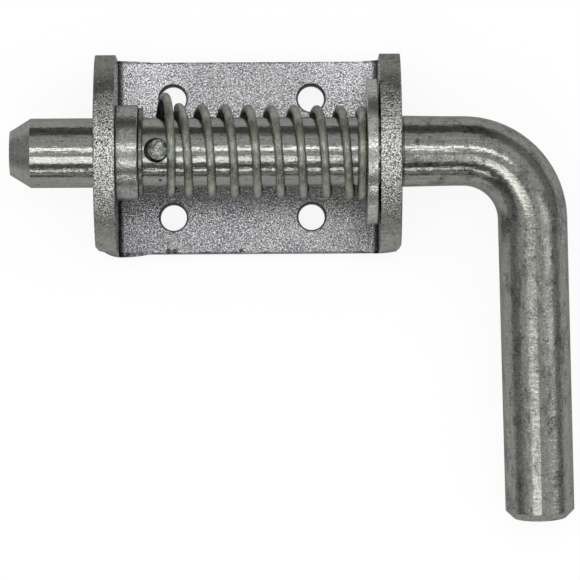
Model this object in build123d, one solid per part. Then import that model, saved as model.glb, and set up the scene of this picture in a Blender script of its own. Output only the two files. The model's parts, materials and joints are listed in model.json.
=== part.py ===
from build123d import *
import os
from math import asin, atan2, cos, degrees, hypot, pi, radians, sin

# Spring latch: a plunger bar slides through two ears of a folded bracket.
# X runs along the plunger from the tip (-X) to the handle (+X).
# Z = 0 is the bracket's flat back and +Z points away from what it is fixed to.
# Sizes are in millimetres.

# Bracket: one folded strip
STRIP_THICKNESS = 4.76
STRIP_WIDTH = 44.45
BRACKET_LENGTH = 69.6
INNER_FOLD_RADIUS = 1.5
EAR_CREST = 16.5
EAR_ARC_RISE = 14.9
ROLLOVER = 0.35
NEAR_SIDE_LEAN = 0.7
NEAR_TIP_FOLD_BULGE = 0.85
FAR_TIP_FOLD_BULGE = 0.4
HANDLE_FOLD_BULGE = 0.25
FOLD_BULGE_REACH = 3.3
TIP_FOLD_BULGE_LENGTH = 7.5
HANDLE_FOLD_BULGE_LENGTH = 3.6
BOLT_HOLE_DIAMETER = 6.1
BOLT_MOUTH_DIAMETER = 6.9
BOLT_MOUTH_DEPTH = 1.6
BOLT_SPACING_X = 32.06
BOLT_SPACING_Y = 27.56
BOLT_OFFSET_X = -1.4

# Plunger: one bar with a coned tip, bent into the handle
BAR_DIAMETER = 15.875
BAR_CLEARANCE = 0.25
BAR_SWELL = 0.2
BAR_SWELL_LENGTH = 11.5
TIP_REACH = 19.43
TIP_CONE_LENGTH = 4.75
TIP_CONE_DEPTH = 2.96
BEND_RADIUS = 16.0
BEND_START = 14.19
HANDLE_SPLAY = 1.58
HANDLE_LENGTH = 84.9
HANDLE_END_CHAMFER = 1.8
HANDLE_GROUND_GAP = 0.15

# Cross pin
PIN_DIAMETER = 4.6
PIN_PROUD = 2.86
PIN_DOME_HEIGHT = 0.9
PIN_STOP_PLAY = 1.29
PIN_HOLE_DIAMETER = 5.6
PIN_SEAT_GAP = 0.02

# Collar and washers
COLLAR_WALL = 2.96
COLLAR_THICKNESS = 5.13
COLLAR_EDGE = 0.4
STOP_WASHER_WALL = 2.31
STOP_WASHER_THICKNESS = 1.05
BACK_WASHER_DIAMETER = 33.2
BACK_WASHER_PLAY = 0.81
BACK_WASHER_THICKNESS = 2.5
BACK_WASHER_EAR_GAP = 0.5
BACK_WASHER_BASE_GAP = 0.84
WASHER_EDGE = 0.25

# Spring
WIRE_DIAMETER = 2.03
SPRING_CLEARANCE = 0.88
SPRING_TURNS = 9.8
SPRING_START_ANGLE = -65.0
CLOSED_TURNS = 0.47
CLOSING_TURNS = 0.3
LOOSE_COIL_EXTRA_RADIUS = 1.15
LOOSE_COIL_RISE = 1.3
LOOSE_COIL_PITCH = 3.13
COIL_LEAN_FIRST = 1.0
COIL_LEAN_LAST = 0.3
COIL_TWIST = 0.15
SPRING_SKEW = 0.45
SPRING_PIN_LEAD = 0.66
SPRING_SEAT_GAP = 0.02
POINTS_PER_TURN = 12

# Radii and lengths that follow from the sizes above
BAR_RADIUS = BAR_DIAMETER / 2
WIRE_RADIUS = WIRE_DIAMETER / 2
PIN_LENGTH = BAR_DIAMETER + 2 * PIN_PROUD
COIL_RADIUS = BAR_RADIUS + SPRING_CLEARANCE + WIRE_RADIUS
LAST_TURN = SPRING_TURNS + SPRING_START_ANGLE / 360
LAST_OPEN_TURN = LAST_TURN - CLOSED_TURNS - CLOSING_TURNS

# Heights above the bracket's back
BAR_AXIS_HEIGHT = STRIP_THICKNESS + BACK_WASHER_BASE_GAP + BACK_WASHER_DIAMETER / 2
EAR_HEIGHT = BAR_AXIS_HEIGHT + EAR_CREST
EAR_SHOULDER = EAR_HEIGHT - EAR_ARC_RISE
AXIS = (0, 0, BAR_AXIS_HEIGHT)

# Places along X
EAR_OUTER = BRACKET_LENGTH / 2
EAR_INNER = EAR_OUTER - STRIP_THICKNESS
COLLAR_FACE = -EAR_INNER + COLLAR_THICKNESS
STOP_FACE = COLLAR_FACE + STOP_WASHER_THICKNESS
PIN_X = STOP_FACE + PIN_STOP_PLAY + PIN_DIAMETER / 2
BACK_WASHER_X = EAR_INNER - BACK_WASHER_EAR_GAP - BACK_WASHER_THICKNESS
TIP_X = -EAR_OUTER - TIP_REACH
BAR_END_X = EAR_OUTER + BEND_START


def along_x(x):
    """A plane across the plunger's axis at x, whose normal is +X."""
    return Plane(origin=(x, 0, BAR_AXIS_HEIGHT), x_dir=(0, 1, 0), z_dir=(1, 0, 0))


def folded_strip(width, skin=0.0):
    """The strip folded twice and pulled along Y, with a skin left off its outer face."""
    outer_fold = INNER_FOLD_RADIUS + STRIP_THICKNESS - skin
    outer_height = EAR_HEIGHT - skin
    outer = Pos(0, skin + outer_height / 2) * Rectangle(2 * (EAR_OUTER - skin), outer_height)
    outer = fillet(outer.vertices().group_by(Axis.Y)[0], outer_fold)
    inner_height = EAR_HEIGHT - STRIP_THICKNESS
    inner = Pos(0, STRIP_THICKNESS + inner_height / 2) * Rectangle(2 * EAR_INNER, inner_height)
    inner = fillet(inner.vertices().group_by(Axis.Y)[0], INNER_FOLD_RADIUS)
    section = Plane.XZ * (outer - inner)
    return extrude(section, width / 2, both=True)


def ear_outline():
    """Front view of the ears: straight sides and one wide arc over the top."""
    half = STRIP_WIDTH / 2
    left = Line((-half, 0), (-half, EAR_SHOULDER))
    top = ThreePointArc((-half, EAR_SHOULDER), (0, EAR_HEIGHT), (half, EAR_SHOULDER))
    right = Line((half, EAR_SHOULDER), (half, 0))
    base = Line((half, 0), (-half, 0))
    face = make_face([left, top, right, base])
    return extrude(Plane.YZ * face, BRACKET_LENGTH / 2, both=True)


def outer_face_edges(body):
    """The long edges where the sheared rim meets the strip's outer face."""
    rims = []
    for edge in body.edges():
        middle = edge @ 0.5
        on_side = abs(abs(middle.Y) - STRIP_WIDTH / 2) < 1e-3
        on_back = middle.Z < 1e-3
        on_ear = abs(abs(middle.X) - EAR_OUTER) < 1e-3
        on_fold = on_side and not on_back and not on_ear and is_outer_fold(middle)
        if (on_side and (on_back or on_ear)) or on_fold:
            rims.append(edge)
        elif on_ear and middle.Z > EAR_SHOULDER - 1e-3:
            rims.append(edge)
    return rims


def is_outer_fold(point):
    """True where a point lies on the outer curve of either fold."""
    outer_fold = INNER_FOLD_RADIUS + STRIP_THICKNESS
    centre_x = EAR_OUTER - outer_fold
    reach = hypot(abs(point.X) - centre_x, point.Z - outer_fold)
    return abs(reach - outer_fold) < 1e-3


def fold_bulge(x_side, y_side, bulge, length):
    """The strip's side pressed outward beside a fold's inner corner, fading along the base."""
    radius = (FOLD_BULGE_REACH**2 + bulge**2) / (2 * bulge)
    corner = INNER_FOLD_RADIUS * (1 - cos(radians(45)))
    x = x_side * (EAR_INNER - corner)
    y = y_side * (STRIP_WIDTH / 2 + bulge - radius)
    z = STRIP_THICKNESS + corner
    room = 4 * max(radius, length)
    ear_half = Sphere(radius) & Pos(x_side * room / 2, 0, 0) * Box(room, room, room)
    base_ball = scale(Sphere(radius), by=(length / FOLD_BULGE_REACH, 1, 1))
    base_half = base_ball & Pos(-x_side * room / 2, 0, 0) * Box(room, room, room)
    cap = Pos(x, y, z) * (ear_half + base_half)
    near_side = Pos(x, y_side * STRIP_WIDTH / 2, z) * Box(room, 1 + 2 * bulge, room)
    return cap & near_side & folded_strip(STRIP_WIDTH + 4 * bulge, ROLLOVER + 0.1)


def near_side_wedge(x_side):
    """What is cut from an ear's near side, which leans in towards its outer face."""
    start = EAR_INNER + ROLLOVER
    reach = EAR_OUTER + 1.0
    inward = NEAR_SIDE_LEAN * (reach - start) / (EAR_OUTER - start)
    side = -STRIP_WIDTH / 2
    corner = (x_side * start, side)
    outline = Polyline(corner, (x_side * reach, side + inward), (x_side * reach, side - 1.0), corner)
    return extrude(make_face(outline), EAR_HEIGHT)


def bolt_hole():
    """A punched hole through the base, wider at its mouth inside the channel."""
    through = Cylinder(BOLT_HOLE_DIAMETER / 2, 3 * STRIP_THICKNESS)
    mouth = Cone(BOLT_HOLE_DIAMETER / 2, BOLT_MOUTH_DIAMETER / 2, BOLT_MOUTH_DEPTH)
    return through + Pos(0, 0, STRIP_THICKNESS - BOLT_MOUTH_DEPTH / 2) * mouth


def bracket():
    body = folded_strip(STRIP_WIDTH) & ear_outline()
    body = fillet(outer_face_edges(body), ROLLOVER)
    body -= near_side_wedge(-1)
    body -= near_side_wedge(1)
    body += fold_bulge(-1, -1, NEAR_TIP_FOLD_BULGE, TIP_FOLD_BULGE_LENGTH)
    body += fold_bulge(-1, 1, FAR_TIP_FOLD_BULGE, TIP_FOLD_BULGE_LENGTH)
    body += fold_bulge(1, -1, HANDLE_FOLD_BULGE, HANDLE_FOLD_BULGE_LENGTH)
    body += fold_bulge(1, 1, HANDLE_FOLD_BULGE, HANDLE_FOLD_BULGE_LENGTH)
    bore = extrude(along_x(0) * Circle(BAR_RADIUS + BAR_CLEARANCE), BRACKET_LENGTH, both=True)
    body -= bore
    for place in GridLocations(BOLT_SPACING_X, BOLT_SPACING_Y, 2, 2):
        body -= Pos(BOLT_OFFSET_X, 0, 0) * place * bolt_hole()
    return body


def handle_droop():
    """The angle at which the handle's end comes down to the bracket's back plane."""
    reach = HANDLE_LENGTH - HANDLE_END_CHAMFER
    drop = BAR_AXIS_HEIGHT - HANDLE_GROUND_GAP
    corner = hypot(reach, BAR_RADIUS)
    return degrees(asin(min(drop / corner, 1.0)) - atan2(BAR_RADIUS, reach))


def bar_swell():
    """The slight swelling of the bar between the handle-side ear and the bend."""
    start = EAR_OUTER - 1.0
    crown = EAR_OUTER + 0.8
    end = crown + BAR_SWELL_LENGTH
    rim = Polyline((start, 0), (start, BAR_RADIUS), (crown, BAR_RADIUS + BAR_SWELL), (end, BAR_RADIUS), (end, 0))
    spine = Line((end, 0), (start, 0))
    profile = Plane.XZ * make_face([rim, spine])
    return Pos(*AXIS) * revolve(profile, Axis.X)


def plunger():
    """The bar along X, its bend and its handle, swept in one piece."""
    turn = 90 - HANDLE_SPLAY
    cone_end = TIP_X + TIP_CONE_LENGTH
    run = Line((cone_end, 0), (BAR_END_X, 0))
    bend = JernArc(start=run @ 1, tangent=run % 1, radius=BEND_RADIUS, arc_size=-turn)
    bend_drop = BEND_RADIUS * (1 - cos(radians(turn)))
    leg_length = (HANDLE_LENGTH - bend_drop) / sin(radians(turn))
    leg = Line(bend @ 1, bend @ 1 + (bend % 1) * leg_length)
    path = Pos(0, 0, BAR_AXIS_HEIGHT) * Wire([run, bend, leg])
    section = Plane(origin=path @ 0, z_dir=path % 0) * Circle(BAR_RADIUS)
    bar = sweep(section, path)
    handle_end = bar.faces().sort_by(Axis.Y)[0]
    bar = chamfer(handle_end.edges(), HANDLE_END_CHAMFER)
    tip_face = along_x(TIP_X) * Circle(BAR_RADIUS - TIP_CONE_DEPTH)
    bar += loft([tip_face, along_x(cone_end) * Circle(BAR_RADIUS)])
    bar += bar_swell()
    hole_x = PIN_X + PIN_SEAT_GAP - (PIN_HOLE_DIAMETER - PIN_DIAMETER) / 2
    hole = Pos(hole_x, 0, BAR_AXIS_HEIGHT) * Cylinder(PIN_HOLE_DIAMETER / 2, 2 * BAR_DIAMETER)
    bar = bar.rotate(Axis(AXIS, (1, 0, 0)), handle_droop())
    return bar - hole


def cross_pin():
    """A plain pin with two domed ends, along Z through the plunger."""
    half = PIN_LENGTH / 2
    radius = PIN_DIAMETER / 2
    shoulder = half - PIN_DOME_HEIGHT
    dome_radius = (radius**2 + PIN_DOME_HEIGHT**2) / (2 * PIN_DOME_HEIGHT)
    middle = asin(radius / dome_radius) / 2
    rise = half - dome_radius + dome_radius * cos(middle)
    side = Line((radius, -shoulder), (radius, shoulder))
    top = ThreePointArc((radius, shoulder), (dome_radius * sin(middle), rise), (0, half))
    spine = Line((0, half), (0, -half))
    foot = ThreePointArc((0, -half), (dome_radius * sin(middle), -rise), (radius, -shoulder))
    profile = Plane.XZ * make_face([side, top, spine, foot])
    return Pos(PIN_X, 0, BAR_AXIS_HEIGHT) * revolve(profile, Axis.Z)


def ring(x, thickness, diameter, bore, edge):
    """A flat ring round the plunger, from x towards +X, with its outer edges eased."""
    disc = extrude(along_x(x) * Circle(diameter / 2), thickness)
    disc = fillet(disc.edges(), edge)
    return disc - extrude(along_x(x) * Circle(bore / 2), thickness)


def collar():
    bore = BAR_DIAMETER + 2 * BAR_CLEARANCE
    return ring(-EAR_INNER, COLLAR_THICKNESS, BAR_DIAMETER + 2 * COLLAR_WALL, bore, COLLAR_EDGE)


def stop_washer():
    bore = BAR_DIAMETER + 2 * BAR_CLEARANCE
    return ring(COLLAR_FACE, STOP_WASHER_THICKNESS, BAR_DIAMETER + 2 * STOP_WASHER_WALL, bore, WASHER_EDGE)


def back_washer():
    bore = BAR_DIAMETER + 2 * BACK_WASHER_PLAY
    return ring(BACK_WASHER_X, BACK_WASHER_THICKNESS, BACK_WASHER_DIAMETER, bore, WASHER_EDGE)


def smooth_step(share):
    """0 below 0, 1 above 1, and a smooth rise between."""
    held = min(max(share, 0.0), 1.0)
    return held * held * (3 - 2 * held)


def coil_advance(turn, pitch):
    """Distance along X from the first coil's top, after a number of turns."""
    if turn <= 1:
        return LOOSE_COIL_PITCH * turn
    advance = LOOSE_COIL_PITCH + pitch * (min(turn, LAST_OPEN_TURN) - 1)
    closing = min(max((turn - LAST_OPEN_TURN) / CLOSING_TURNS, 0.0), 1.0)
    return advance + pitch * CLOSING_TURNS * (closing - closing**2 / 2)


def spring_point(turn):
    """Centre of the wire, where turn 0 is the first coil's top on the +Y side."""
    front_x = PIN_X + PIN_DIAMETER / 2 + SPRING_PIN_LEAD
    first_x = front_x - LOOSE_COIL_PITCH / 4 - COIL_LEAN_FIRST
    last_x = BACK_WASHER_X - SPRING_SEAT_GAP - WIRE_RADIUS
    open_turns = LAST_OPEN_TURN - 1 + CLOSING_TURNS / 2
    pitch = (last_x - first_x - LOOSE_COIL_PITCH) / open_turns
    loose = 1 - smooth_step(turn - 0.15)
    free = 1 - smooth_step((turn - LAST_OPEN_TURN) / CLOSING_TURNS)
    angle = 2 * pi * turn
    share = turn / LAST_TURN
    radius = COIL_RADIUS + LOOSE_COIL_EXTRA_RADIUS * loose
    behind_pin = 0.5 < turn < 1
    lean = 0.0 if behind_pin else COIL_LEAN_FIRST + (COIL_LEAN_LAST - COIL_LEAN_FIRST) * share
    x = first_x + coil_advance(turn, pitch) + free * (lean * sin(angle) + COIL_TWIST * cos(angle))
    y = radius * cos(angle) + LOOSE_COIL_RISE * loose + SPRING_SKEW * (1 - 2 * share)
    z = radius * sin(angle) + BAR_AXIS_HEIGHT
    return Vector(x, y, z)


def spring():
    """One round wire swept along its coils, closed at the washer end."""
    first = SPRING_START_ANGLE / 360
    count = round(SPRING_TURNS * POINTS_PER_TURN)
    points = [spring_point(first + SPRING_TURNS * i / count) for i in range(count + 1)]
    path = Spline(*points)
    section = Plane(origin=path @ 0, z_dir=path % 0) * Circle(WIRE_RADIUS)
    return sweep(section, path, is_frenet=True)


PARTS = {
    "bracket": bracket,
    "plunger": plunger,
    "cross_pin": cross_pin,
    "spring": spring,
    "collar": collar,
    "stop_washer": stop_washer,
    "back_washer": back_washer,
}

os.makedirs("parts", exist_ok=True)
for name, make in PARTS.items():
    export_step(make(), f"parts/{name}.step")
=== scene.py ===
import json
import math

import bmesh
import bpy
from mathutils import Euler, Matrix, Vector

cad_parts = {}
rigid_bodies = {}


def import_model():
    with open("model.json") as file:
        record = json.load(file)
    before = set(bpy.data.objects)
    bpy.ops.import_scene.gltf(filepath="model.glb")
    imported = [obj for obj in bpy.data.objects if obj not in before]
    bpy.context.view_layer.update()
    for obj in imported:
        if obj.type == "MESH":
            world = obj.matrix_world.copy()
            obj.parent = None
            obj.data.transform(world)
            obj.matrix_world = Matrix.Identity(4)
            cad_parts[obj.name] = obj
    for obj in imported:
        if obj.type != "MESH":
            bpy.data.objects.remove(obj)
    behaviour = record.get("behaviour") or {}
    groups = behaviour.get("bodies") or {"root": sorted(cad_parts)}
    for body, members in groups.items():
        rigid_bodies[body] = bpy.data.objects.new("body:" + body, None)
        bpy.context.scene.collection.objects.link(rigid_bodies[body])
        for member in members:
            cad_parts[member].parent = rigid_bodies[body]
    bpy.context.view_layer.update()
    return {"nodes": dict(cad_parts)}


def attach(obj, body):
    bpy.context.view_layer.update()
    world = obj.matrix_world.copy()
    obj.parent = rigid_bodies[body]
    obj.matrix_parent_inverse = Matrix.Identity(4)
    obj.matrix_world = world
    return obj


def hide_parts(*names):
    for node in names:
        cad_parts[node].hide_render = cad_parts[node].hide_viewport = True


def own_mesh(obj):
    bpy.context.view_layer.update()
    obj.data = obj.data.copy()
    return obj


MM = 0.001

# Camera: high above the latch, looking almost straight down on it
CAMERA_PLACE = (0.0052, -0.0711, 0.9942)
CAMERA_TURN = (2.3324, -0.2340, -0.3478)
CAMERA_LENS = 265.0
CAMERA_SENSOR = 36.0
CAMERA_CLIP = (0.05, 20.0)

# Spring, in millimetres, the same coils as the CAD solid's
AXIS_HEIGHT = 22.2
WIRE_RADIUS = 1.015
COIL_RADIUS = 9.8325
SPRING_TURNS = 9.8
SPRING_START = -65 / 360
CLOSED_TURNS = 0.47
CLOSING_TURNS = 0.3
LAST_TURN = SPRING_TURNS + SPRING_START
LAST_OPEN_TURN = LAST_TURN - CLOSED_TURNS - CLOSING_TURNS
FRONT_X = -17.31
LAST_X = 26.005
LOOSE_EXTRA_RADIUS = 1.15
LOOSE_RISE = 1.3
LOOSE_PITCH = 3.13
LOOSE_UNTIL_TURN = 0.15
LEAN_FIRST = 1.0
LEAN_LAST = 0.3
TWIST = 0.15
SKEW = 0.45
POINTS_PER_TURN = 40
WIRE_SIDES = 18

# Bands on the bracket over which one look turns into the next, in millimetres
EAR_START = (29.6, 30.2)
RIM_WORN_SHADED_END = (11, 15)
RIM_WORN_RAGGED = 2
STRIP_SIDE = (21.75, 22.05)
FOLD_HOLLOW = (28.4, 29.2)
FOLD_HOLLOW_HEIGHT = (9, 5.5)
HOLE_MOUTH = (3.55, 3.4)

# Bolt holes' centre and half spacings, in millimetres
HOLES_X = -1.4
HOLE_HALF_X = 16.03
HOLE_HALF_Y = 13.78

# Bands on the plunger, in millimetres, and the handle's droop in degrees
HANDLE_START = (-9, -20)
CONE_START = (-49.2, -49.7)
BEYOND_EAR = (33, 38)
HANDLE_DROOP = 9.8

# Stop washer's middle and the band at its faces, in millimetres, over which it is darkened with
# painted shade
STOP_WASHER_X = -24.4
STOP_WASHER_HALF = (0.7, 0.55)

# Small marks in the plating, in millimetres: a nick in the bar, and marks on the base with their radii
NICK = (-19.9, -6.6, 26.6)
NICK_RADIUS = 0.45
PLATE_MARKS = (
    (-18.6, -21.6, 4.76, 0.6),
    (-17.2, -21.7, 4.76, 0.6),
    (-1.8, -21.6, 4.76, 0.45),
    (-7.2, -17.3, 4.76, 0.3),
)

# Bump depths in metres
SPECKLE_BUMP = 0.00009
TORN_BUMP = 0.00014
DRAWN_BUMP = 0.00002
SCUFF_BUMP = 0.00008
RAGGED_BUMP = 0.00006
BAR_PIT_BUMP = 0.000025
PIN_LUMP_BUMP = 0.0006
PIN_FINE_BUMP = 0.00012
WIRE_LINE_BUMP = 0.00014
WIRE_FINE_BUMP = 0.00005
TURNED_BUMP = 0.00003
RING_PIT_BUMP = 0.00006

# Tints and colours of the plating
METAL_EDGE_TINT = (0.7, 0.7, 0.7, 1.0)
PLATE_COOL = (1.0, 1.0, 1.03)
PLATE_ROSY = (1.0, 0.985, 1.0)
RIM_TINT = (1.0, 1.0, 0.95)
WORN_RIM_TINT = (0.98, 1.0, 0.88)
BAR_OLIVE = (0.99, 1.01, 0.88)
BAR_PLAIN = (1.0, 0.99, 0.96)
PIN_DARK = (0.36, 0.38, 0.32)
PIN_BRIGHT = (0.95, 0.96, 0.9)
WIRE_DARK = (0.38, 0.41, 0.33)
WIRE_BRIGHT = (0.60, 0.62, 0.53)
# Painted shade for the wire's low inner side
WIRE_PAINTED_SHADE = (0.05, 0.055, 0.05)
RING_TINT = (1.0, 1.0, 0.95)

# Floor: its size in metres, and what it shows to each kind of ray
FLOOR_SIZE = 12
FLOOR_LIT = (0.8, 0.8, 0.8, 1.0)
FLOOR_SHADOWED = (0.25, 0.25, 0.25, 1.0)
FLOOR_GLOW = 0.88
FLOOR_GLOSSY_SHARE = 0.2

# Lamps over the latch: name, tilt in degrees, distance, width, length, glow, shift along X and tint
WHITE = (1.0, 1.0, 1.0)
SOFTBOXES = (
    ("overhead", -7.5, 0.5, 0.052, 0.45, 2.8, 0.0, WHITE),
    ("near_side", 28.8, 1.2, 0.29, 0.52, 1.6, -0.2, (1.0, 0.99, 0.95)),
    ("low_near", 64.5, 1.1, 0.06, 0.6, 3.6, 0.0, WHITE),
    ("floor_near", 78, 1.1, 0.04, 0.6, 1.0, 0.0, WHITE),
)
SOFTBOX_PIVOT_HEIGHT = 0.02

# Narrow lamp beyond the handle, which draws its second bright line, in metres
SIDE_PLACE = (0.85, -0.25, 0.80)
SIDE_WIDTH = 0.09
SIDE_LENGTH = 0.7
SIDE_GLOW = 1.3

# Room: its colour, its strengths, and a dark flag between two tilts in degrees
ROOM_COLOUR = (0.97, 0.98, 1.0, 1.0)
ROOM_LOW = 0.10
ROOM_LOW_ENDS = 0.24
ROOM_HIGH = 0.50
FLAG_STRENGTH = 0.13
FLAG_START = (-64, -61)
FLAG_END = (-44, -39)


class Graph:
    """Short names for the shader nodes that the materials are made of."""

    def __init__(self, tree):
        self.tree = tree
        tree.nodes.clear()

    def node(self, kind, **settings):
        made = self.tree.nodes.new(kind)
        for name, value in settings.items():
            setattr(made, name, value)
        return made

    def feed(self, socket, value):
        """Links a socket, or sets a plain value on it."""
        if isinstance(value, bpy.types.NodeSocket):
            self.tree.links.new(value, socket)
        elif isinstance(value, tuple) and len(value) == 3 and socket.type == "RGBA":
            socket.default_value = (*value, 1.0)
        else:
            socket.default_value = value

    def math(self, operation, a, b=0.0):
        made = self.node("ShaderNodeMath", operation=operation)
        self.feed(made.inputs[0], a)
        self.feed(made.inputs[1], b)
        return made.outputs[0]

    def plus(self, a, b):
        return self.math("ADD", a, b)

    def minus(self, a, b):
        return self.math("SUBTRACT", a, b)

    def times(self, a, b):
        return self.math("MULTIPLY", a, b)

    def size(self, value):
        return self.math("ABSOLUTE", value)

    def rest(self, share):
        """What a share leaves of 1."""
        return self.minus(1.0, share)

    def place(self):
        """The surface point in the object's own frame, in metres."""
        return self.node("ShaderNodeTexCoord").outputs["Object"]

    def facing(self):
        """The surface's direction in the object's own frame."""
        return self.node("ShaderNodeTexCoord").outputs["Normal"]

    def split(self, vector):
        made = self.node("ShaderNodeSeparateXYZ")
        self.feed(made.inputs[0], vector)
        return made.outputs

    def scaled(self, vector, scale, turn=(0.0, 0.0, 0.0)):
        made = self.node("ShaderNodeMapping")
        self.feed(made.inputs["Vector"], vector)
        made.inputs["Scale"].default_value = scale
        made.inputs["Rotation"].default_value = turn
        return made.outputs[0]

    def noise(self, vector, scale=1.0, detail=2.0, rough=0.5, warp=0.0):
        made = self.node("ShaderNodeTexNoise")
        self.feed(made.inputs["Vector"], vector)
        made.inputs["Scale"].default_value = scale
        made.inputs["Detail"].default_value = detail
        made.inputs["Roughness"].default_value = rough
        made.inputs["Distortion"].default_value = warp
        return made.outputs["Fac"]

    def span(self, value, low, high, out_low=0.0, out_high=1.0, kind="SMOOTHSTEP"):
        """Maps low..high to out_low..out_high, held at both ends."""
        made = self.node("ShaderNodeMapRange", interpolation_type=kind)
        made.clamp = True
        self.feed(made.inputs["Value"], value)
        made.inputs["From Min"].default_value = low
        made.inputs["From Max"].default_value = high
        made.inputs["To Min"].default_value = out_low
        made.inputs["To Max"].default_value = out_high
        return made.outputs["Result"]

    def ramp(self, value, low, high, out_low, out_high):
        """The same in a straight line."""
        return self.span(value, low, high, out_low, out_high, "LINEAR")

    def band(self, value, limits):
        """0 to 1 between two limits in millimetres."""
        return self.span(value, limits[0] * MM, limits[1] * MM)

    def spot(self, vector, centre, radius):
        """1 within a radius of a point, both in millimetres, and 0 a little outside it."""
        made = self.node("ShaderNodeVectorMath", operation="DISTANCE")
        self.feed(made.inputs[0], vector)
        made.inputs[1].default_value = [c * MM for c in centre]
        return self.span(made.outputs["Value"], radius * 1.3 * MM, radius * 0.7 * MM)

    def mix(self, share, a, b):
        """A colour between a and b."""
        made = self.node("ShaderNodeMix", data_type="RGBA")
        self.feed(made.inputs[0], share)
        self.feed(made.inputs[6], a)
        self.feed(made.inputs[7], b)
        return made.outputs[2]

    def blend(self, share, a, b):
        """A number between a and b."""
        made = self.node("ShaderNodeMix", data_type="FLOAT")
        self.feed(made.inputs[0], share)
        self.feed(made.inputs[2], a)
        self.feed(made.inputs[3], b)
        return made.outputs[0]

    def tinted(self, shade, tint):
        """A grey of this brightness, times a faint tint."""
        grey = self.node("ShaderNodeCombineColor")
        for socket in grey.inputs:
            self.feed(socket, shade)
        made = self.node("ShaderNodeMix", data_type="RGBA", blend_type="MULTIPLY")
        made.inputs[0].default_value = 1.0
        self.feed(made.inputs[6], grey.outputs[0])
        self.feed(made.inputs[7], tint)
        return made.outputs[2]

    def bump(self, height, distance, strength=1.0, normal=None):
        made = self.node("ShaderNodeBump")
        made.inputs["Strength"].default_value = strength
        made.inputs["Distance"].default_value = distance
        self.feed(made.inputs["Height"], height)
        if normal is not None:
            self.feed(made.inputs["Normal"], normal)
        return made.outputs["Normal"]


def metal(name):
    """A material with its graph and its metallic shader."""
    material = bpy.data.materials.new(name)
    material.use_nodes = True
    graph = Graph(material.node_tree)
    out = graph.node("ShaderNodeOutputMaterial")
    shader = graph.node("ShaderNodeBsdfPrincipled")
    shader.inputs["Metallic"].default_value = 1.0
    shader.inputs["Specular Tint"].default_value = METAL_EDGE_TINT
    graph.feed(out.inputs["Surface"], shader.outputs["BSDF"])
    return material, graph, shader


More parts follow.
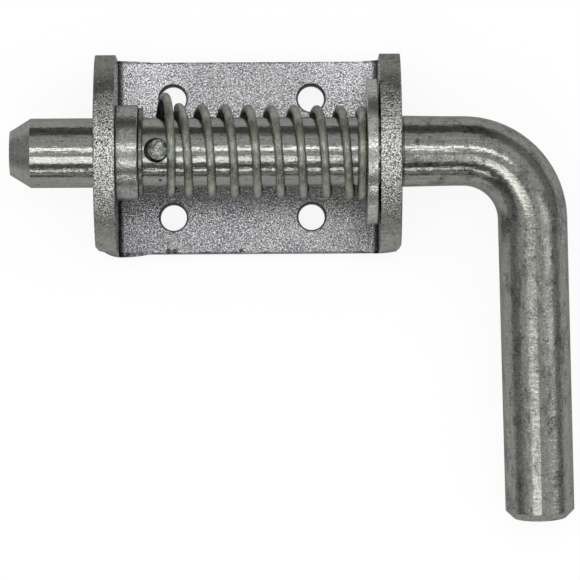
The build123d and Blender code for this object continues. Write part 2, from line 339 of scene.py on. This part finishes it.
def bracket_zinc():
    """Plated strip: finely speckled faces and rough sheared rims, with painted shade in its punched
    holes, fold hollows and beside the bar, and painted light and glints on its base.
    """
    material, g, shader = metal("bracket_zinc")
    place = g.place()
    x, y, z = g.split(place)
    out_x = g.size(x)
    out_y = g.size(y)
    fine = g.noise(place, 2900, 2.0, 0.6)
    torn = g.noise(place, 2700, 2.0, 0.6)
    broad = g.noise(place, 420, 3.0, 0.55)
    patches = g.noise(place, 70, 2.0, 0.5)

    # Where the ears' sheared rims are, and their ends, worn smooth and also darkened with painted
    # shade
    on_ear = g.band(out_x, EAR_START)
    off_ear = g.rest(on_ear)
    sideways = g.size(g.split(g.facing())[0])
    rim = g.times(on_ear, g.span(sideways, 0.75, 0.55))
    ragged = g.span(broad, 0.3, 0.7, -RIM_WORN_RAGGED * MM, RIM_WORN_RAGGED * MM)
    worn_shaded_end = g.times(rim, g.band(g.plus(out_y, ragged), RIM_WORN_SHADED_END))

    # Speckle, patches and stains
    speck = g.blend(rim, fine, torn)
    contrast = g.blend(worn_shaded_end, g.blend(rim, 0.36, 0.75), 0.14)
    tone = g.times(g.ramp(speck, 0.3, 0.7, -1.0, 1.0), contrast)
    tone = g.plus(tone, g.ramp(broad, 0.3, 0.7, -0.04, 0.04))
    shade = g.plus(tone, g.span(patches, 0.35, 0.65, 0.37, 0.43))
    shade = g.plus(shade, g.times(rim, 0.2))
    # Painted shade, in part: the worn rim ends are darkened, most at the +Y end
    shade = g.minus(shade, g.times(worn_shaded_end, g.span(y, -12 * MM, 12 * MM, 0.15, 0.24)))
    stains = g.times(worn_shaded_end, g.span(g.noise(place, 700, 3.0, 0.6), 0.52, 0.66))
    shade = g.minus(shade, g.times(stains, 0.12))

    # Painted shade on the base beside the bar on its -Y side, and painted light that brightens the
    # base's far corners towards +Y and darkens them towards -Y
    painted_shade_by_bar = g.times(g.band(y, (-7, -11)), g.band(y, (-19, -12)))
    shade = g.minus(shade, g.times(painted_shade_by_bar, g.times(off_ear, 0.07)))
    painted_light_corner = g.times(g.band(out_x, (8, 25)), g.ramp(y, -18 * MM, 18 * MM, -0.14, 0.46))
    shade = g.times(shade, g.plus(1.0, g.times(painted_light_corner, off_ear)))

    # Painted glints: bright dots among the speckle, strongest on the rims and the lit far corners of
    # the base
    lit_far_corner = g.times(g.band(out_x, (8, 22)), g.band(y, (4, 18)))
    painted_glint = g.times(g.span(speck, 0.58, 0.66), g.rest(worn_shaded_end))
    painted_glint = g.times(painted_glint, g.math("MAXIMUM", g.blend(rim, 0.4, 0.9), lit_far_corner))
    shade = g.blend(painted_glint, shade, 0.97)

    # Painted shade in the fold hollows, the hole walls and along the base's side edges
    painted_fold_shade = g.times(g.band(out_x, FOLD_HOLLOW), g.band(z, FOLD_HOLLOW_HEIGHT))
    shade = g.times(shade, g.blend(painted_fold_shade, 1.0, 0.6))
    hole_x = g.minus(g.size(g.minus(x, HOLES_X * MM)), HOLE_HALF_X * MM)
    hole_y = g.minus(out_y, HOLE_HALF_Y * MM)
    reach = g.math("SQRT", g.plus(g.math("POWER", hole_x, 2.0), g.math("POWER", hole_y, 2.0)))
    painted_hole_shade = g.band(reach, HOLE_MOUTH)
    painted_edge_shade = g.times(g.band(out_y, STRIP_SIDE), off_ear)
    painted_edge_shade = g.times(painted_edge_shade, g.span(broad, 0.35, 0.6, 1.0, 0.4))
    dark = g.math("MAXIMUM", g.times(painted_hole_shade, 0.85), g.times(painted_edge_shade, 0.8))
    shade = g.times(shade, g.rest(dark))
    for *centre, radius in PLATE_MARKS:
        mark = g.times(g.spot(place, centre, radius), 0.75)
        shade = g.times(shade, g.rest(mark))

    cool = g.mix(g.span(patches, 0.4, 0.6), PLATE_COOL, PLATE_ROSY)
    tint = g.mix(rim, cool, g.mix(worn_shaded_end, RIM_TINT, WORN_RIM_TINT))
    g.feed(shader.inputs["Base Color"], g.tinted(shade, tint))
    rough = g.blend(rim, g.span(broad, 0.3, 0.7, 0.18, 0.26), g.span(torn, 0.3, 0.7, 0.30, 0.22))
    g.feed(shader.inputs["Roughness"], rough)
    normal = g.bump(fine, SPECKLE_BUMP)
    jagged = g.times(torn, g.minus(rim, g.times(worn_shaded_end, 0.8)))
    normal = g.bump(jagged, TORN_BUMP, 1.0, normal)
    g.feed(shader.inputs["Normal"], normal)
    return material


def plunger_zinc():
    """Bright drawn bar, with turned lines on its cone and a scuffed handle."""
    material, g, shader = metal("plunger_zinc")
    place = g.place()
    x, y = g.split(place)[:2]
    on_handle = g.band(y, HANDLE_START)
    on_cone = g.band(x, CONE_START)

    # Lines along the bar and the handle, and round the cone
    drawn_bar = g.noise(g.scaled(place, (60, 1900, 1900)), 1.0, 2.0, 0.6)
    droop = (math.radians(-HANDLE_DROOP), 0, 0)
    drawn_handle = g.noise(g.scaled(place, (1900, 60, 1900), droop), 1.0, 2.0, 0.6)
    drawn = g.blend(on_handle, drawn_bar, drawn_handle)
    turned = g.noise(g.scaled(place, (4200, 160, 160)), 1.0, 2.0, 0.6)
    grain = g.blend(on_cone, drawn, turned)

    # Pits, scuffs, dirt and stains, and painted glints on the handle
    pits = g.noise(place, 2200, 2.5, 0.6)
    scuffs = g.noise(g.scaled(place, (260, 200, 260)), 1.0, 4.0, 0.65, 0.6)
    wear = g.times(g.span(scuffs, 0.45, 0.68), g.span(on_handle, 0.0, 1.0, 0.35, 1.0))
    shade = g.plus(g.ramp(grain, 0.3, 0.7, 0.38, 0.50), g.ramp(pits, 0.35, 0.65, -0.07, 0.06))
    dirt = g.span(g.noise(g.scaled(place, (800, 1300, 1300)), 1.0, 3.0, 0.65), 0.56, 0.68)
    shade = g.minus(shade, g.times(dirt, 0.16))
    shade = g.plus(shade, g.times(on_cone, 0.06))
    stains = g.noise(g.scaled(place, (330, 170, 330)), 1.0, 5.0, 0.7)
    stains = g.times(g.span(stains, 0.48, 0.64), g.band(x, BEYOND_EAR))
    shade = g.minus(shade, g.times(stains, 0.17))
    painted_glints = g.span(g.noise(place, 1700, 2.0, 0.6), 0.60, 0.68)
    shade = g.plus(shade, g.times(g.times(painted_glints, on_handle), 0.25))
    nick = g.spot(place, NICK, NICK_RADIUS)
    shade = g.times(shade, g.rest(g.times(nick, 0.8)))

    tint = g.mix(g.noise(place, 90, 2.0), BAR_OLIVE, BAR_PLAIN)
    g.feed(shader.inputs["Base Color"], g.tinted(shade, tint))
    rough = g.plus(g.span(pits, 0.3, 0.7, 0.10, 0.17), g.times(wear, 0.12))
    rough = g.plus(rough, g.times(on_handle, 0.07))
    rough = g.plus(rough, g.times(on_cone, 0.14))
    g.feed(shader.inputs["Roughness"], rough)
    normal = g.bump(g.times(grain, g.blend(on_cone, 1.0, 2.5)), DRAWN_BUMP)
    normal = g.bump(scuffs, SCUFF_BUMP, 0.35, normal)
    ragged = g.noise(g.scaled(place, (420, 800, 800)), 1.0, 1.0, 0.5)
    normal = g.bump(ragged, RAGGED_BUMP, 0.8, normal)
    normal = g.bump(pits, BAR_PIT_BUMP, 0.9, normal)
    g.feed(shader.inputs["Normal"], normal)
    return material


def pin_zinc():
    """The pin's rough domed head, plated over its cropped end."""
    material, g, shader = metal("pin_zinc")
    place = g.place()
    lumps = g.noise(place, 900, 3.0, 0.6, 0.5)
    fine = g.noise(place, 2600, 2.0, 0.5)
    g.feed(shader.inputs["Base Color"], g.mix(g.span(lumps, 0.35, 0.65), PIN_DARK, PIN_BRIGHT))
    g.feed(shader.inputs["Roughness"], g.span(fine, 0.3, 0.7, 0.24, 0.4))
    normal = g.bump(lumps, PIN_LUMP_BUMP, 0.9)
    normal = g.bump(fine, PIN_FINE_BUMP, 0.8, normal)
    g.feed(shader.inputs["Normal"], normal)
    return material


def spring_wire():
    """Satin drawn wire with fine lines along its length, and painted shade low on its inner side."""
    material, g, shader = metal("spring_wire")
    along = g.node("ShaderNodeUVMap", uv_map="wire").outputs["UV"]
    place = g.place()
    lines = g.noise(g.scaled(along, (60, 12, 1)), 1.0, 3.0, 0.6)
    blotch = g.noise(place, 330, 3.0, 0.6, 0.4)
    fine = g.noise(place, 1900, 2.0, 0.5)
    shade = g.mix(g.span(blotch, 0.3, 0.7), WIRE_DARK, WIRE_BRIGHT)
    round_wire = g.split(along)[0]
    # Painted shade: the wire's side that faces the bar is darkened below the axis
    inward = g.span(g.size(g.minus(round_wire, 0.5)), 0.3, 0.16)
    low = g.band(g.split(place)[2], (AXIS_HEIGHT + 2, AXIS_HEIGHT - 4))
    painted_shade_inside = g.times(g.times(inward, low), 0.7)
    g.feed(shader.inputs["Base Color"], g.mix(painted_shade_inside, shade, WIRE_PAINTED_SHADE))
    g.feed(shader.inputs["Roughness"], g.span(lines, 0.3, 0.7, 0.13, 0.24))
    normal = g.bump(lines, WIRE_LINE_BUMP)
    normal = g.bump(fine, WIRE_FINE_BUMP, 0.8, normal)
    g.feed(shader.inputs["Normal"], normal)
    return material


def washer_zinc():
    """Satin rings with turned lines round their rims and lightly pitted faces."""
    material, g, shader = metal("washer_zinc")
    place = g.place()
    x = g.split(place)[0]
    turned = g.noise(g.scaled(place, (2600, 260, 260)), 1.0, 2.5, 0.6)
    pits = g.noise(place, 1500, 3.0, 0.6, 0.3)
    blotch = g.noise(place, 240, 2.0, 0.5)
    shade = g.plus(g.ramp(pits, 0.35, 0.65, 0.32, 0.62), g.ramp(blotch, 0.35, 0.65, -0.04, 0.05))

    # The back washer is brighter, and the thin stop washer is darkened with painted shade
    shade = g.times(shade, g.span(x, 0.0, 10 * MM, 1.0, 1.3))
    stop_washer_shade = g.band(g.size(g.minus(x, STOP_WASHER_X * MM)), STOP_WASHER_HALF)
    shade = g.times(shade, g.blend(stop_washer_shade, 1.0, 0.5))
    g.feed(shader.inputs["Base Color"], g.tinted(shade, RING_TINT))
    g.feed(shader.inputs["Roughness"], g.span(pits, 0.3, 0.7, 0.30, 0.18))
    normal = g.bump(turned, TURNED_BUMP, 0.9)
    normal = g.bump(pits, RING_PIT_BUMP, 0.8, normal)
    g.feed(shader.inputs["Normal"], normal)
    return material


def smooth_step(share):
    """0 below 0, 1 above 1, and a smooth rise between."""
    held = min(max(share, 0.0), 1.0)
    return held * held * (3 - 2 * held)


def coil_advance(turn, pitch):
    """Distance along X from turn 0, after a number of turns."""
    if turn <= 1:
        return LOOSE_PITCH * turn
    advance = LOOSE_PITCH + pitch * (min(turn, LAST_OPEN_TURN) - 1)
    closing = min(max((turn - LAST_OPEN_TURN) / CLOSING_TURNS, 0.0), 1.0)
    return advance + pitch * CLOSING_TURNS * (closing - closing**2 / 2)


def spring_point(turn):
    """Centre of the wire in millimetres, where turn 0 is on the first coil's +Y side."""
    first_x = FRONT_X - LOOSE_PITCH / 4 - LEAN_FIRST
    pitch = (LAST_X - first_x - LOOSE_PITCH) / (LAST_OPEN_TURN - 1 + CLOSING_TURNS / 2)
    loose = 1 - smooth_step(turn - LOOSE_UNTIL_TURN)
    free = 1 - smooth_step((turn - LAST_OPEN_TURN) / CLOSING_TURNS)
    angle = 2 * math.pi * turn
    share = turn / LAST_TURN
    radius = COIL_RADIUS + LOOSE_EXTRA_RADIUS * loose
    behind_pin = 0.5 < turn < 1
    lean = 0.0 if behind_pin else LEAN_FIRST + (LEAN_LAST - LEAN_FIRST) * share
    x = first_x + coil_advance(turn, pitch) + free * (lean * math.sin(angle) + TWIST * math.cos(angle))
    y = radius * math.cos(angle) + LOOSE_RISE * loose + SKEW * (1 - 2 * share)
    z = radius * math.sin(angle) + AXIS_HEIGHT
    return Vector((x, y, z))


def wire_ring(mesh, point, ahead):
    """The wire's section round a point, as a ring of vertices that starts on its outer side."""
    outward = point - Vector((point.x, 0.0, AXIS_HEIGHT))
    outward = (outward - ahead * outward.dot(ahead)).normalized()
    across = ahead.cross(outward)
    ring = []
    for k in range(WIRE_SIDES):
        angle = 2 * math.pi * k / WIRE_SIDES
        offset = (outward * math.cos(angle) + across * math.sin(angle)) * WIRE_RADIUS
        ring.append(mesh.verts.new((point + offset) * MM))
    return ring


def spring_mesh():
    """The wire as a tube along its coils, with flat cropped ends."""
    count = round(SPRING_TURNS * POINTS_PER_TURN)
    line = [spring_point(SPRING_START + SPRING_TURNS * i / count) for i in range(count + 1)]
    mesh = bmesh.new()
    wire_map = mesh.loops.layers.uv.new("wire")
    rings = []
    for i, point in enumerate(line):
        ahead = line[min(i + 1, count)] - line[max(i - 1, 0)]
        ahead.normalize()
        rings.append(wire_ring(mesh, point, ahead))
    for i in range(count):
        for k in range(WIRE_SIDES):
            after = (k + 1) % WIRE_SIDES
            face = mesh.faces.new((rings[i][k], rings[i][after], rings[i + 1][after], rings[i + 1][k]))
            face.smooth = True
            corners = ((i, k), (i, k + 1), (i + 1, k + 1), (i + 1, k))
            for loop, (step, turn) in zip(face.loops, corners):
                loop[wire_map].uv = (turn / WIRE_SIDES, step / POINTS_PER_TURN)
    mesh.faces.new(list(reversed(rings[0])))
    mesh.faces.new(rings[-1])
    bmesh.ops.recalc_face_normals(mesh, faces=mesh.faces)
    data = bpy.data.meshes.new("spring_coils")
    mesh.to_mesh(data)
    mesh.free()
    made = bpy.data.objects.new("spring_coils", data)
    bpy.context.scene.collection.objects.link(made)
    return made


def floor():
    """A white floor that the latch lies on, which keeps a soft shadow."""
    bpy.ops.mesh.primitive_plane_add(size=FLOOR_SIZE, location=(0, 0, 0))
    plane = bpy.context.object
    plane.name = "floor"
    material = bpy.data.materials.new("floor_white")
    material.use_nodes = True
    g = Graph(material.node_tree)
    out = g.node("ShaderNodeOutputMaterial")
    seen = g.node("ShaderNodeLightPath")
    shown = g.math("MAXIMUM", seen.outputs["Is Camera Ray"], seen.outputs["Is Transmission Ray"])
    shown = g.math("MAXIMUM", shown, g.times(seen.outputs["Is Glossy Ray"], FLOOR_GLOSSY_SHARE))
    lit = g.node("ShaderNodeBsdfDiffuse")
    lit.inputs["Color"].default_value = FLOOR_LIT
    shadowed = g.node("ShaderNodeBsdfDiffuse")
    shadowed.inputs["Color"].default_value = FLOOR_SHADOWED
    white = g.node("ShaderNodeEmission")
    white.inputs["Strength"].default_value = FLOOR_GLOW
    both = g.node("ShaderNodeAddShader")
    g.feed(both.inputs[0], white.outputs[0])
    g.feed(both.inputs[1], shadowed.outputs[0])
    pick = g.node("ShaderNodeMixShader")
    g.feed(pick.inputs[0], shown)
    g.feed(pick.inputs[1], lit.outputs[0])
    g.feed(pick.inputs[2], both.outputs[0])
    g.feed(out.inputs["Surface"], pick.outputs[0])
    plane.data.materials.append(material)


def lamp(name, place, turn, size, glow, tint=WHITE):
    """A flat rectangular lamp that the camera doesn't see."""
    light = bpy.data.lights.new(name, "AREA")
    light.shape = "RECTANGLE"
    light.size, light.size_y = size
    light.energy = glow * math.pi * size[1] * size[0]
    light.color = tint
    made = bpy.data.objects.new(name, light)
    made.location = place
    made.rotation_euler = turn
    made.visible_camera = False
    bpy.context.scene.collection.objects.link(made)


def lamps():
    """Softboxes along X, tilted from overhead towards -Y, and one beyond the handle."""
    for name, tilt, away, width, length, glow, x, tint in SOFTBOXES:
        lean = math.radians(tilt)
        place = (x, -math.sin(lean) * away, SOFTBOX_PIVOT_HEIGHT + math.cos(lean) * away)
        lamp(name, place, Euler((lean, 0, 0)), (length, width), glow, tint)
    turn = Vector(SIDE_PLACE).to_track_quat("Z", "Y").to_euler()
    lamp("handle_side", SIDE_PLACE, turn, (SIDE_WIDTH, SIDE_LENGTH), SIDE_GLOW)


def room():
    """A plain grey room, dimmer towards its horizon, with a dark flag on the near side."""
    world = bpy.data.worlds.new("room")
    bpy.context.scene.world = world
    world.use_nodes = True
    g = Graph(world.node_tree)
    out = g.node("ShaderNodeOutputWorld")
    shown = g.node("ShaderNodeBackground")
    x, y, z = g.split(g.node("ShaderNodeTexCoord").outputs["Generated"])
    low = g.span(g.size(x), 0.25, 0.75, ROOM_LOW, ROOM_LOW_ENDS)
    rise = g.blend(g.span(z, 0.46, 0.66), low, ROOM_HIGH)
    tilt = g.math("ARCTAN2", y, z)
    flag_start = g.span(tilt, *[math.radians(a) for a in FLAG_START])
    flag_end = g.span(tilt, *[math.radians(a) for a in FLAG_END])
    flag = g.times(flag_start, g.rest(flag_end))
    shown.inputs["Color"].default_value = ROOM_COLOUR
    g.feed(shown.inputs["Strength"], g.blend(flag, rise, FLAG_STRENGTH))
    g.feed(out.inputs["Surface"], shown.outputs[0])


def camera():
    lens = bpy.data.cameras.new("camera")
    lens.lens = CAMERA_LENS
    lens.sensor_width = CAMERA_SENSOR
    lens.clip_start, lens.clip_end = CAMERA_CLIP
    made = bpy.data.objects.new("camera", lens)
    made.location = CAMERA_PLACE
    made.rotation_euler = Euler([math.radians(a) for a in CAMERA_TURN])
    bpy.context.scene.collection.objects.link(made)
    bpy.context.scene.camera = made


def dress(obj, material):
    """Gives an object this one material."""
    obj.data.materials.clear()
    obj.data.materials.append(material)


for leftover in list(bpy.data.objects):
    bpy.data.objects.remove(leftover)

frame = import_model()
nodes = frame["nodes"]

bpy.context.scene.view_settings.view_transform = "Standard"
camera()
floor()
lamps()
room()

washers = washer_zinc()
dress(nodes["bracket"], bracket_zinc())
dress(nodes["plunger"], plunger_zinc())
dress(nodes["cross_pin"], pin_zinc())
dress(nodes["collar"], washers)
dress(nodes["stop_washer"], washers)
dress(nodes["back_washer"], washers)

coils = spring_mesh()
dress(coils, spring_wire())
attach(coils, "spring_carrier")
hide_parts("spring")
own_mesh(coils)
